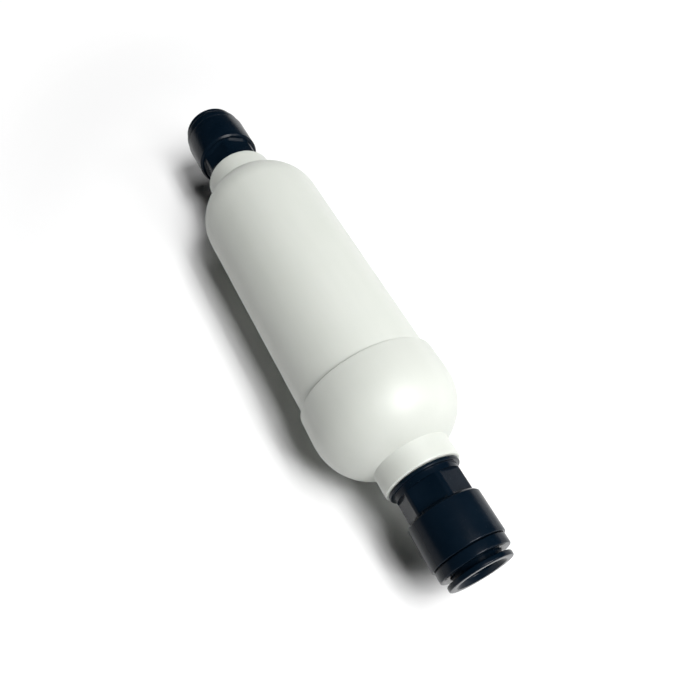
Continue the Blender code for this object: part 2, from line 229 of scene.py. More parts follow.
def rounded(corners):
    """Points of a closed outline, from (x, radius, fillet) corners. Each fillet is a short arc."""
    points = []
    count = len(corners)
    for i, corner in enumerate(corners):
        here = Vector(corner[:2])
        fillet = corner[2] if len(corner) > 2 else 0.0
        if fillet <= 0.0:
            points.append(tuple(here))
            continue
        before = Vector(corners[i - 1][:2]) - here
        after = Vector(corners[(i + 1) % count][:2]) - here
        half = before.angle(after) / 2
        reach = min(fillet / tan(half), FILLET_LIMIT * before.length, FILLET_LIMIT * after.length)
        radius = reach * tan(half)
        middle = here + (before.normalized() + after.normalized()).normalized() * (radius / sin(half))
        start = here + before.normalized() * reach - middle
        end = here + after.normalized() * reach - middle
        sweep = start.angle_signed(end)
        for step in range(ARC_STEPS + 1):
            turned = start.copy()
            turned.rotate(Matrix.Rotation(-sweep * step / ARC_STEPS, 2))
            points.append(tuple(middle + turned))
    return points


def clamped(value):
    """The value, kept between 0 and 1."""
    return min(1.0, max(0.0, value))


def near_end(share, end, band):
    """0 until share comes within band of end, then rising to 1 at end."""
    return clamped((share - (end - band)) / band)


def ridge(phase, peak, slope):
    """A flat-topped ridge from 0 to 1 and back in each turn of phase."""
    return clamped(peak - abs(phase % 1.0 - 0.5) * slope)


def dome(start, depth, radius, stop_radius, fullness):
    """Points of a dome from its full radius at start to stop_radius; a negative depth faces -X."""
    stop = (1.0 - (stop_radius / radius) ** fullness) ** (1.0 / fullness)
    points = []
    for i in range(DOME_STEPS + 1):
        along = stop * sin(pi / 2 * i / DOME_STEPS)
        points.append((start + depth * along, radius * (1.0 - along**fullness) ** (1.0 / fullness)))
    return points


def new_piece(name, verts, faces, body, node, finish):
    """A named mesh object that rides on a CAD body and stands for a CAD node."""
    mesh = bpy.data.meshes.new(name)
    mesh.from_pydata([tuple(v) for v in verts], [], faces)
    mesh.validate()
    mesh.materials.append(finishes[finish])
    made = bpy.data.objects.new(name, mesh)
    bpy.context.scene.collection.objects.link(made)
    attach(made, body)
    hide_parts(node)
    return made


def shade(mesh):
    """Smooth shading, apart from the edges that turn by more than SHARP_ANGLE."""
    mesh.shade_smooth()
    mesh.set_sharp_from_angle(angle=SHARP_ANGLE)


def face_out(mesh):
    """Weld a mesh, turn its faces outwards and shade it."""
    bm = bmesh.new()
    bm.from_mesh(mesh)
    bmesh.ops.remove_doubles(bm, verts=bm.verts, dist=WELD_DISTANCE)
    bmesh.ops.recalc_face_normals(bm, faces=bm.faces)
    bm.to_mesh(mesh)
    bm.free()
    shade(mesh)


def lofted_piece(name, loops, body, node, finish, place=None, closed=True):
    """Skin a row of loops, round to the first one again or, if not closed, with a cap at each end."""
    steps, count = loops.shape[:2]
    verts = loops.reshape(-1, 3)
    if place is not None:
        turn = np.array(place)
        verts = verts @ turn[:3, :3].T + turn[:3, 3]
    faces = []
    for j in range(steps if closed else steps - 1):
        after = (j + 1) % steps
        for i in range(count):
            beside = (i + 1) % count
            faces.append((j * count + i, j * count + beside, after * count + beside, after * count + i))
    if not closed:
        faces.append(tuple(range(count)))
        faces.append(tuple((steps - 1) * count + i for i in range(count)))
    made = new_piece(name, verts, faces, body, node, finish)
    face_out(made.data)
    return made


def turned_piece(name, outline, steps, body, node, finish, place=None, shape=None):
    """Spin a closed outline round X. shape(i, x, r, angle) may change a point's radius."""
    loops = np.empty((steps, len(outline), 3))
    for j in range(steps):
        angle = tau * (j + 0.5) / steps
        for i, (x, r) in enumerate(outline):
            radius = shape(i, x, r, angle) if shape else r
            loops[j, i] = (x, radius * sin(angle), radius * cos(angle))
    return lofted_piece(name, loops, body, node, finish, place)


def block(low, high, place):
    """A box given by two corners in the frame of place."""
    size = Vector(high) - Vector(low)
    middle = (Vector(high) + Vector(low)) / 2
    moved = place @ Matrix.Translation(middle)
    bm = bmesh.new()
    bmesh.ops.create_cube(bm, size=1.0, matrix=moved @ Matrix.Diagonal((*size, 1.0)))
    return bm


def tool_object(bm):
    """A short-lived object made from bm, to combine with another. It uses bm up."""
    mesh = bpy.data.meshes.new("tool")
    bm.to_mesh(mesh)
    bm.free()
    made = bpy.data.objects.new("tool", mesh)
    bpy.context.scene.collection.objects.link(made)
    return made


def apply_boolean(target, tool, operation):
    """Combine target with tool, keep the result in target's mesh, and remove the tool."""
    modifier = target.modifiers.new("combine", "BOOLEAN")
    modifier.operation = operation
    modifier.solver = "EXACT"
    modifier.object = tool
    bpy.context.view_layer.update()
    graph = bpy.context.evaluated_depsgraph_get()
    result = bpy.data.meshes.new_from_object(target.evaluated_get(graph))
    target.modifiers.clear()
    old = target.data
    target.data = result
    result.name = old.name
    bpy.data.meshes.remove(old)
    bpy.data.objects.remove(tool, do_unlink=True)
    shade(result)


def connector_place(prefix):
    """A connector's own frame in the filter's: +X points outwards from the end of its boss."""
    side = SIDES[prefix]
    turn = Matrix.Rotation(0.0 if side > 0 else pi, 4, "Z")
    return Matrix.Translation((side * BOSS_END, 0.0, 0.0)) @ turn


# ---------------------------------------------------------------- materials


class Nodes:
    """Short calls for building one material's node tree."""

    def __init__(self, name):
        self.material = bpy.data.materials.new(name)
        self.material.use_nodes = True
        self.tree = self.material.node_tree
        self.shader = self.tree.nodes["Principled BSDF"]
        self.place = self.tree.nodes.new("ShaderNodeTexCoord").outputs["Object"]

    def set(self, **values):
        """Set the shader's inputs; an underscore stands for a space."""
        for name, value in values.items():
            self.shader.inputs[name.replace("_", " ")].default_value = value

    def link(self, source, target):
        self.tree.links.new(source, target)

    def stretched(self, scale):
        """Object coordinates scaled along each axis."""
        made = self.tree.nodes.new("ShaderNodeMapping")
        made.inputs["Scale"].default_value = scale
        self.link(self.place, made.inputs["Vector"])
        return made.outputs["Vector"]

    def noise(self, size, detail=3.0, roughness=0.5, vector=None):
        """Noise whose features are about size metres across."""
        made = self.tree.nodes.new("ShaderNodeTexNoise")
        made.inputs["Scale"].default_value = 1.0 / size
        made.inputs["Detail"].default_value = detail
        made.inputs["Roughness"].default_value = roughness
        self.link(vector or self.place, made.inputs["Vector"])
        return made.outputs["Fac"]

    def cells(self, size):
        """Distance to the nearest wall between cells about size metres across."""
        made = self.tree.nodes.new("ShaderNodeTexVoronoi")
        made.feature = "DISTANCE_TO_EDGE"
        made.inputs["Scale"].default_value = 1.0 / size
        self.link(self.place, made.inputs["Vector"])
        return made.outputs["Distance"]

    def ramp(self, factor, low, high, start=0.3, stop=0.7):
        """A colour or grey ramp between two values."""
        made = self.tree.nodes.new("ShaderNodeValToRGB")
        for element, at, value in zip(made.color_ramp.elements, (start, stop), (low, high)):
            element.position = at
            element.color = (*value, 1.0) if isinstance(value, tuple) else (value, value, value, 1.0)
        self.link(factor, made.inputs["Fac"])
        return made.outputs["Color"]

    def mix(self, factor, first, second):
        """A mix of two colours or greys."""
        made = self.tree.nodes.new("ShaderNodeMix")
        made.data_type = "RGBA"
        self.link(factor, made.inputs["Factor"])
        self.link(first, made.inputs["A"])
        self.link(second, made.inputs["B"])
        return made.outputs["Result"]

    def bump(self, height, depth, strength, normal=None):
        """A normal tilted by relief of the given depth in metres, on top of another normal."""
        made = self.tree.nodes.new("ShaderNodeBump")
        made.inputs["Strength"].default_value = strength
        made.inputs["Distance"].default_value = depth
        self.link(height, made.inputs["Height"])
        if normal is not None:
            self.link(normal, made.inputs["Normal"])
        return made.outputs["Normal"]

    def finish(self, colour, roughness, normal=None):
        """Join the last nodes to the shader and give the material."""
        self.link(colour, self.shader.inputs["Base Color"])
        self.link(roughness, self.shader.inputs["Roughness"])
        if normal is not None:
            self.link(normal, self.shader.inputs["Normal"])
        return self.material


def white_shell():
    """Satin moulded polypropylene with a fine mould texture, faint flow streaks and hairline scuffs."""
    n = Nodes("white_shell")
    n.set(Subsurface_Weight=0.12, Subsurface_Radius=(1.0, 0.95, 0.85), Subsurface_Scale=1.2 * MM)
    n.set(IOR=1.49, Specular_IOR_Level=0.42)
    cloud = n.noise(22 * MM, detail=2.0)
    streak = n.noise(6 * MM, detail=3.0, vector=n.stretched((0.12, 1.0, 1.0)))
    base = n.ramp(cloud, (0.530, 0.552, 0.510), (0.548, 0.566, 0.528))
    worn = n.ramp(streak, (0.524, 0.545, 0.505), (0.553, 0.571, 0.533))
    grain = n.noise(0.35 * MM, detail=2.0)
    colour = n.mix(cloud, base, worn)
    roughness = n.ramp(n.noise(3 * MM, detail=4.0), 0.38, 0.50)
    scuff = n.noise(0.9 * MM, detail=5.0, roughness=0.65, vector=n.stretched((0.06, 1.0, 1.0)))
    normal = n.bump(grain, 0.010 * MM, 0.6)
    normal = n.bump(scuff, 0.006 * MM, 0.5, normal)
    normal = n.bump(n.noise(14 * MM, detail=1.0), 0.05 * MM, 0.5, normal)
    return n.finish(colour, roughness, normal)


def black_acetal():
    """Moulded black acetal: soft gloss, slightly cold, with a faint sheen of handling marks."""
    n = Nodes("black_acetal")
    n.set(IOR=1.40, Specular_IOR_Level=0.12)
    base = n.ramp(n.noise(9 * MM, detail=3.0), (0.0014, 0.0048, 0.0098), (0.0028, 0.0069, 0.0128))
    handled = n.noise(1.6 * MM, detail=5.0, roughness=0.6)
    roughness = n.ramp(handled, 0.20, 0.28)
    normal = n.bump(n.noise(0.25 * MM, detail=2.0), 0.006 * MM, 0.6)
    scuff = n.noise(0.5 * MM, detail=4.0, vector=n.stretched((1.0, 0.1, 0.1)))
    normal = n.bump(scuff, 0.004 * MM, 0.5, normal)
    return n.finish(base, roughness, normal)


def black_rubber():
    """Matt nitrile rubber with a faint bloom."""
    n = Nodes("black_rubber")
    n.set(IOR=1.5, Specular_IOR_Level=0.3)
    bloom = n.noise(1.2 * MM, detail=4.0)
    base = n.ramp(bloom, (0.010, 0.010, 0.010), (0.022, 0.022, 0.023))
    roughness = n.ramp(bloom, 0.55, 0.75)
    return n.finish(base, roughness, n.bump(n.noise(0.12 * MM), 0.008 * MM, 0.7))


def stainless_steel():
    """Stamped spring steel with a grain along the strip."""
    n = Nodes("stainless_steel")
    n.set(Metallic=1.0)
    grain = n.noise(0.3 * MM, detail=4.0, vector=n.stretched((1.0, 0.15, 1.0)))
    base = n.ramp(grain, (0.56, 0.55, 0.53), (0.68, 0.67, 0.65))
    roughness = n.ramp(grain, 0.22, 0.38)
    return n.finish(base, roughness, n.bump(grain, 0.004 * MM, 0.6))


def white_nylon():
    """Natural nylon: cream white, slightly translucent."""
    n = Nodes("white_nylon")
    n.set(Subsurface_Weight=0.2, Subsurface_Radius=(1.0, 0.9, 0.75), Subsurface_Scale=1.0 * MM)
    cloud = n.noise(5 * MM, detail=3.0)
    base = n.ramp(cloud, (0.70, 0.69, 0.64), (0.78, 0.77, 0.73))
    roughness = n.ramp(n.noise(1.0 * MM), 0.42, 0.58)
    return n.finish(base, roughness, n.bump(n.noise(0.3 * MM), 0.01 * MM, 0.6))


def white_felt():
    """Needled polyester: matted fibres that run every way, with a soft sheen."""
    n = Nodes("white_felt")
    n.set(Sheen_Weight=0.3, Sheen_Roughness=0.6, Specular_IOR_Level=0.2)
    one_way = n.noise(0.25 * MM, detail=5.0, roughness=0.7, vector=n.stretched((1.0, 0.12, 1.0)))
    other_way = n.noise(0.25 * MM, detail=5.0, roughness=0.7, vector=n.stretched((1.0, 1.0, 0.12)))
    fibres = n.mix(n.noise(1.5 * MM), one_way, other_way)
    base = n.ramp(fibres, (0.66, 0.65, 0.61), (0.86, 0.85, 0.82))
    roughness = n.ramp(fibres, 0.85, 1.0)
    return n.finish(base, roughness, n.bump(fibres, 0.12 * MM, 0.9))


def grey_foam():
    """Open-cell foam: thin grey struts, with painted shade darkening the pores between them."""
    n = Nodes("grey_foam")
    n.set(Specular_IOR_Level=0.15)
    pores = n.cells(0.8 * MM)
    # Painted shade: the colour darkens from each strut into the middle of its pore.
    base = n.ramp(pores, (0.26, 0.27, 0.28), (0.05, 0.05, 0.055), 0.02, 0.28)
    roughness = n.ramp(pores, 0.85, 1.0)
    return n.finish(base, roughness, n.bump(base, 0.2 * MM, 1.0))


def granular_carbon():
    """Crushed activated carbon: matt black grains, some faces faintly glossy."""
    n = Nodes("granular_carbon")
    n.set(Specular_IOR_Level=0.35)
    tint = n.noise(1.4 * MM, detail=2.0)
    base = n.ramp(tint, (0.010, 0.010, 0.011), (0.036, 0.036, 0.038))
    roughness = n.ramp(n.noise(0.8 * MM, detail=3.0), 0.55, 0.95)
    return n.finish(base, roughness, n.bump(n.noise(0.25 * MM, detail=4.0), 0.06 * MM, 0.9))


def table_with_painted_glow():
    """White light table: matt, with a painted glow that is nothing under the filter, faint round it and
    bright far away.
    """
    n = Nodes("table_with_painted_glow")
    n.set(Specular_IOR_Level=0.0, Emission_Strength=1.0)
    base = n.ramp(n.noise(300 * MM, detail=1.0), (0.90, 0.90, 0.90), (0.92, 0.92, 0.92))
    roughness = n.ramp(n.noise(30 * MM), 0.90, 1.0)
    # Painted light: the table's emission grows with the distance from the filter.
    distance = n.tree.nodes.new("ShaderNodeVectorMath")
    distance.operation = "LENGTH"
    n.link(n.stretched(PAINTED_GLOW_SCALE), distance.inputs[0])
    painted_glow = n.tree.nodes.new("ShaderNodeValToRGB")
    n.link(distance.outputs["Value"], painted_glow.inputs["Fac"])
    stops = painted_glow.color_ramp
    stops.interpolation = "EASE"
    stops.elements.new(0.5)
    for element, (position, grey) in zip(stops.elements, PAINTED_GLOW):
        element.position = position
        element.color = (grey, grey, grey, 1.0)
    n.link(painted_glow.outputs["Color"], n.shader.inputs["Emission Color"])
    return n.finish(base, roughness)


# ---------------------------------------------------------------- threads


def thread_height(x, angle):
    """0 at the root and 1 at the crest of a right-hand pipe thread on the +X side."""
    return ridge(x / THREAD_PITCH - angle / tau, *THREAD_RIDGE)


def thread_rows(start, end):
    """Evenly spaced positions from start to end, fine enough to carry the thread."""
    count = max(2, round(abs(end - start) / THREAD_PITCH * THREAD_ROWS))
    return [start + (end - start) * i / count for i in range(count + 1)]


def fade(x, start, end, run):
    """1 inside a thread's length, falling to 0 over a length of run at each end."""
    low, high = min(start, end), max(start, end)
    return clamped(min(x - low, high - x) / run)


# ---------------------------------------------------------------- capsule


def port_corners(side):
    """The boss's end and its seal seat as rounded corners, outside first."""
    end = side * BOSS_END
    seat = side * (BOSS_END - SEAL_SEAT_DEPTH)
    return [
        (end, BOSS_RADIUS, 0.7 * MM),
        (end, SEAL_SEAT_RADIUS, 0.25 * MM),
        (seat, SEAL_SEAT_RADIUS, 0.2 * MM),
        (seat, PORT_RADIUS, 0.2 * MM),
    ]


def capsule_outline(side, mouth, outside, inside):
    """One capsule half's closed outline, the indices of its port's thread, and the thread's span."""
    bore_start = side * (BOSS_END - SEAL_SEAT_DEPTH - PORT_THREAD_MARGIN)
    bore_end = side * (BOSS_END - PORT_DEPTH + PORT_THREAD_MARGIN)
    bore = [(x, PORT_RADIUS) for x in thread_rows(bore_start, bore_end)]
    inner_end = side * (BOSS_END - PORT_DEPTH)
    collar = [
        (inner_end, PORT_RADIUS, 0.25 * MM),
        (inner_end, PORT_COLLAR_RADIUS, 0.4 * MM),
    ]
    points = rounded(mouth + outside + port_corners(side) + bore + collar + inside[::-1])
    threaded = {i for i, (x, r) in enumerate(points) if abs(r - PORT_RADIUS) < ROUNDING}
    return points, threaded, (bore_start, bore_end)


def port_shape(threaded, span):
    """Radius rule that raises the port's thread inwards from its bore."""

    def shape(i, x, r, angle):
        if i not in threaded:
            return r
        turned = angle if span[0] > 0 else -angle
        height = 1.0 - thread_height(abs(x) - BOSS_END, turned)
        return r - THREAD_HEIGHT * height * fade(x, *span, THREAD_PITCH)

    return shape


def make_capsule_half(name, node, side, mouth, outside, inside, finish):
    """Turn one half from the corners at its mouth and its two domes, with its port threaded."""
    points, threaded, span = capsule_outline(side, mouth, outside, inside)
    rule = port_shape(threaded, span)
    turned_piece(name, points, SHELL_STEPS, ROOT, node, finish, shape=rule)


def make_bottle(finish):
    """Straight barrel with a round shoulder and the outlet's boss."""
    inner = BOTTLE_RADIUS - BOTTLE_WALL
    inner_depth = SHOULDER_DEPTH - BOTTLE_WALL
    outside = dome(SHOULDER_START, -SHOULDER_DEPTH, BOTTLE_RADIUS, BOSS_RADIUS, SHOULDER_FULLNESS)
    inside = dome(SHOULDER_START, -inner_depth, inner, PORT_COLLAR_RADIUS, SHOULDER_FULLNESS)
    mouth = [
        (BOTTLE_MOUTH, inner, 0.4 * MM),
        (BOTTLE_MOUTH, BOTTLE_RADIUS, 0.6 * MM),
    ]
    outside[-1] = (*outside[-1], 1.6 * MM)
    inside[-1] = (*inside[-1], 0.8 * MM)
    make_capsule_half("bottle", "housing_shell", -1, mouth, outside, inside, finish)


def make_cap(finish):
    """Domed cap with the inlet's boss, its lip overlapping the bottle."""
    lip_inner = BOTTLE_RADIUS + GAP
    seat = BOTTLE_MOUTH + GAP
    outside = dome(CAP_DOME_START, CAP_DOME_DEPTH, CAP_RADIUS, BOSS_RADIUS, CAP_FULLNESS)
    inside = dome(seat, CAP_INNER_DEPTH, CAP_INNER_RADIUS, PORT_COLLAR_RADIUS, CAP_FULLNESS)
    mouth = [
        (seat, lip_inner, 0.3 * MM),
        (LIP_X, lip_inner, 0.15 * MM),
        (LIP_X, LIP_RADIUS, 0.5 * MM),
    ]
    outside[-1] = (*outside[-1], 1.8 * MM)
    inside[-1] = (*inside[-1], 0.8 * MM)
    make_capsule_half("cap", "end_cap", 1, mouth, outside, inside, finish)


# ---------------------------------------------------------------- connectors


def blended_low(a, b, blend):
    """The smaller of two radii, with the change between them eased over about blend."""
    low = min(a, b)
    return low - blend * log(exp(-(a - low) / blend) + exp(-(b - low) / blend))


def indices_within(points, x_span, radius_span):
    """Indices of the outline's points in a span of x and a span of radius, ends included."""
    low_x, high_x = x_span
    low_r, high_r = radius_span
    found = set()
    for i, (x, r) in enumerate(points):
        if low_x - ROUNDING < x < high_x + ROUNDING and low_r - ROUNDING < r < high_r + ROUNDING:
            found.add(i)
    return found


def make_connector_body(prefix, finish):
    """Threaded stem, neck with six spanner flats, and barrel."""
    stem_start = -STEM_LENGTH + STEM_TIP_LENGTH
    stem_end = -SEAL_SEAT_DEPTH - GAP
    stem = [(x, STEM_RADIUS) for x in thread_rows(stem_start, stem_end)]
    shoulder_foot = NECK_RADIUS + 0.1 * MM
    corners = [
        (-STEM_LENGTH, WATERWAY_RADIUS, 0.3 * MM),
        (-STEM_LENGTH, STEM_RADIUS - STEM_TIP_DROP, 0.2 * MM),
        *stem,
        (-SEAL_SEAT_DEPTH, STEM_RADIUS, 0.15 * MM),
        (-SEAL_SEAT_DEPTH, STEM_GROOVE_RADIUS, 0.2 * MM),
        (GAP, STEM_GROOVE_RADIUS, 0.2 * MM),
        (GAP, COLLAR_RADIUS, 0.15 * MM),
        (COLLAR_END, COLLAR_RADIUS, 0.4 * MM),
        (COLLAR_END, NECK_RADIUS, 0.2 * MM),
        (FLATS_START, NECK_RADIUS),
        (FLATS_START + FLAT_SILL, NECK_RADIUS - WELD_DISTANCE),
        (FLATS_START + 0.25 * MM, NECK_RADIUS),
        (BODY_START - FLAT_RUNOUT, NECK_RADIUS, 0.15 * MM),
        (BODY_START, shoulder_foot),
        (BODY_START, BODY_RADIUS - BODY_CHAMFER, 0.12 * MM),
        (BODY_START + BODY_CHAMFER, BODY_RADIUS, 0.3 * MM),
        (BODY_END, BODY_RADIUS, 0.4 * MM),
        (BODY_END, SKIRT_BORE_RADIUS, 0.2 * MM),
        (SKIRT_BORE_START, SKIRT_BORE_RADIUS, 0.2 * MM),
        (SKIRT_BORE_START, SEAL_BORE_RADIUS, 0.2 * MM),
        (SEAL_BORE_START, SEAL_BORE_RADIUS, 0.3 * MM),
        (SEAL_BORE_START, TUBE_BORE_RADIUS, 0.2 * MM),
        (TUBE_STOP, TUBE_BORE_RADIUS, 0.3 * MM),
        (TUBE_STOP, WATERWAY_RADIUS, 0.2 * MM),
    ]
    points = rounded(corners)
    apothem = FLATS_ACROSS / 2
    threaded = indices_within(points, (stem_start, stem_end), (STEM_RADIUS, STEM_RADIUS))
    flatted = indices_within(points, (FLATS_START + FLAT_SILL, BODY_START), (apothem, shoulder_foot))
    flat_angle = SIDES[prefix] * FLAT_ANGLES[prefix]
    flat_width = tau / 6

    def shape(i, x, r, angle):
        if i in threaded:
            height = thread_height(x, angle)
            return r - THREAD_HEIGHT * (1.0 - height * fade(x, stem_start, stem_end, THREAD_PITCH / 2))
        if i in flatted:
            off = (angle - flat_angle + flat_width / 2) % flat_width - flat_width / 2
            rise = max(0.0, x - BODY_START + FLAT_RUNOUT)
            return blended_low(r, (apothem + rise) / cos(off), FLAT_BLEND)
        return r

    name = f"{prefix}_fitting"
    place = connector_place(prefix)
    node = f"{prefix}_connector_body"
    turned_piece(name, points, CONNECTOR_STEPS, ROOT, node, finish, place, shape)


def make_end_ring(prefix, finish):
    """Ring that closes the barrel, with a skirt whose cone keeps the collet's fingers in."""
    skirt_tip = SKIRT_BORE_START + GAP
    shoulder = BODY_END + GAP
    corners = [
        (skirt_tip, CONE_RADIUS, 0.1 * MM),
        (skirt_tip, SKIRT_RADIUS, 0.25 * MM),
        (shoulder, SKIRT_RADIUS, 0.15 * MM),
        (shoulder, RING_RADIUS, 0.25 * MM),
        (RING_END, RING_RADIUS, 0.5 * MM),
        (RING_END, RING_BORE_RADIUS, 0.4 * MM),
        (skirt_tip + CONE_LENGTH, RING_BORE_RADIUS, 0.8 * MM),
    ]
    place = connector_place(prefix)
    name = f"{prefix}_retainer"
    node = f"{prefix}_end_ring"
    turned_piece(name, rounded(corners), RING_STEPS, ROOT, node, finish, place)


def make_collet(prefix, finish):
    """Release collet: slotted fingers with a groove for the grab ring, and the flange to press."""
    groove_low, groove_high = FINGER_GROOVE
    corners = [
        (FINGER_TIP, COLLET_BORE_RADIUS, 0.2 * MM),
        (FINGER_TIP, FINGER_HEAD_RADIUS, 0.4 * MM),
        (FINGER_HEAD_END, FINGER_HEAD_RADIUS, 0.3 * MM),
        (FINGER_TAPER_END, COLLET_RADIUS, 1.0 * MM),
        (FLANGE_BACK, COLLET_RADIUS, 0.3 * MM),
        (FLANGE_BACK, FLANGE_RADIUS, 0.35 * MM),
        (REACH, FLANGE_RADIUS, 0.45 * MM),
        (REACH, COLLET_BORE_RADIUS + LEAD_IN, 0.3 * MM),
        (REACH - LEAD_IN, COLLET_BORE_RADIUS, 0.5 * MM),
        (groove_high, COLLET_BORE_RADIUS, 0.1 * MM),
        (groove_high, FINGER_GROOVE_RADIUS, 0.1 * MM),
        (groove_low, FINGER_GROOVE_RADIUS, 0.1 * MM),
        (groove_low, COLLET_BORE_RADIUS, 0.1 * MM),
    ]
    place = connector_place(prefix)
    body = f"{prefix}_release_collet"
    name = f"{prefix}_release_ring"
    node = f"{prefix}_collet"
    made = turned_piece(name, rounded(corners), RING_STEPS, body, node, finish, place)
    low = (FINGER_TIP - SLOT_OVERRUN, -SLOT_WIDTH / 2, -2 * COLLET_RADIUS)
    high = (SLOT_END, SLOT_WIDTH / 2, 2 * COLLET_RADIUS)
    for i in range(SLOT_PAIRS):
        turn = Matrix.Rotation(pi * (i + SLOT_TURN) / SLOT_PAIRS, 4, "X")
        cutter = tool_object(block(low, high, place @ turn))
        apply_boolean(made, cutter, "DIFFERENCE")


def make_grab_ring(prefix, finish):
    """Split spring ring whose rounded teeth lean towards the tube stop."""
    middle = sum(FINGER_GROOVE) / 2
    split = GRAB_SPLIT / 2 / GRAB_RADIUS
    half = GRAB_THICKNESS / 2
    steps = GRAB_TEETH * TOOTH_STEPS
    loops = []
    for j in range(steps + 1):
        angle = split + (tau - 2 * split) * j / steps
        tooth = ridge(j / TOOTH_STEPS, *GRAB_TOOTH_RIDGE)
        tooth = tooth * tooth * (3 - 2 * tooth)
        inner = GRAB_ROOT_RADIUS + (GRAB_TIP_RADIUS - GRAB_ROOT_RADIUS) * tooth
        bend = (inner + GRAB_ROOT_RADIUS) / 2
        stations = [GRAB_RADIUS, GRAB_RADIUS - half, GRAB_ROOT_RADIUS, bend, inner]
        loop = []
        for side in (-1, 1):
            for i, r in enumerate(stations[::side]):
                end = i in (0, len(stations) - 1)
                lean = -GRAB_DISH * (GRAB_ROOT_RADIUS - r) / (GRAB_ROOT_RADIUS - GRAB_TIP_RADIUS)
                x = middle + max(-GRAB_DISH, min(0.0, lean)) - side * half * (GRAB_RIM if end else 1.0)
                loop.append((x, r * sin(angle), r * cos(angle)))
        loops.append(loop)
    place = connector_place(prefix)
    name = f"{prefix}_teeth"
    body = f"{prefix}_release_collet"
    node = f"{prefix}_grab_ring"
    lofted_piece(name, np.array(loops), body, node, finish, place, closed=False)


def make_seals(prefix, finish):
    """Two O-rings, on the tube and on the stem, with a faint parting ridge."""
    place = connector_place(prefix)
    seals = (
        ("tube", TUBE_SEAL_X, TUBE_SEAL_RADIUS, TUBE_SEAL_SECTION),
        ("thread", THREAD_SEAL_X, THREAD_SEAL_RADIUS, THREAD_SEAL_SECTION),
    )
    for name, x, radius, section in seals:
        outline = []
        for i in range(SECTION_STEPS):
            turn = tau * i / SECTION_STEPS
            swell = 1.0 + PARTING_RIDGE * near_end(abs(sin(turn)), 1.0, PARTING_BAND)
            outline.append((x + section * cos(turn), radius + section * swell * sin(turn)))
        node = f"{prefix}_{name}_o_ring"
        turned_piece(f"{prefix}_{name}_seal", outline, SMALL_STEPS, ROOT, node, finish, place)


def make_washer(prefix, finish):
    """Washer that keeps the tube's O-ring in its seat."""
    outer = SEAL_BORE_RADIUS - GAP
    end = WASHER_X + WASHER_THICKNESS
    edge = 0.2 * MM
    corners = [(WASHER_X, WASHER_BORE_RADIUS, edge), (WASHER_X, outer, edge)]
    corners += [(end, outer, edge), (end, WASHER_BORE_RADIUS, edge)]
    place = connector_place(prefix)
    name = f"{prefix}_spacer"
    node = f"{prefix}_spacer_washer"
    turned_piece(name, rounded(corners), SMALL_STEPS, ROOT, node, finish, place)


# ---------------------------------------------------------------- inside the capsule


def hole_cutters(low_x):
    """One mesh that cuts the holes, countersunk on both faces, of a plate whose lower face is at low_x."""
    over = 2 * PLATE_EDGE
    wide = HOLE_RADIUS + PLATE_EDGE + over
    profile = (
        (-over, 0.0),
        (-over, wide),
        (PLATE_EDGE, HOLE_RADIUS),
        (PLATE_THICKNESS - PLATE_EDGE, HOLE_RADIUS),
        (PLATE_THICKNESS + over, wide),
        (PLATE_THICKNESS + over, 0.0),
    )
    turns = [tau * j / HOLE_STEPS for j in range(HOLE_STEPS)]
    bm = bmesh.new()
    for count, ring_radius in HOLE_RINGS:
        for i in range(count):
            angle = tau * (i + 0.5) / count
            centre = Vector((0.0, ring_radius * sin(angle), ring_radius * cos(angle)))
            rings = []
            for x, r in profile:
                at = centre + Vector((low_x + x, 0.0, 0.0))
                ring = [bm.verts.new(at + Vector((0.0, r * sin(t), r * cos(t)))) for t in turns]
                rings.append(ring)
            for first, second in zip(rings, rings[1:]):
                for j in range(HOLE_STEPS):
                    k = (j + 1) % HOLE_STEPS
                    bm.faces.new((first[j], first[k], second[k], second[j]))
    bmesh.ops.remove_doubles(bm, verts=bm.verts, dist=WELD_DISTANCE)
    bmesh.ops.recalc_face_normals(bm, faces=bm.faces)
    return bm


def make_plate(name, node, face_x, side, finish):
    """Perforated plate, and a cross rib that reaches the port's collar."""
    back = face_x - side * PLATE_THICKNESS
    corners = [
        (face_x, 0.0),
        (face_x, MEDIA_RADIUS, PLATE_EDGE),
        (back, MEDIA_RADIUS, PLATE_EDGE),
        (back, 0.0),
    ]
    made = turned_piece(name, rounded(corners), SMALL_STEPS, ROOT, node, finish)
    apply_boolean(made, tool_object(hole_cutters(min(back, face_x))), "DIFFERENCE")
    root = face_x - side * PLATE_THICKNESS / 2
    tip = side * (BOSS_END - PORT_DEPTH - GAP)
    for turn in (0.0, pi / 2):
        low = (min(root, tip), -RIB_THICKNESS / 2, -RIB_SPAN)
        high = (max(root, tip), RIB_THICKNESS / 2, RIB_SPAN)
        bm = block(low, high, Matrix.Rotation(turn, 4, "X"))
        edges = bm.edges[:]
        bmesh.ops.bevel(bm, geom=edges, offset=PLATE_EDGE, segments=2, affect="EDGES", profile=0.5)
        apply_boolean(made, tool_object(bm), "UNION")


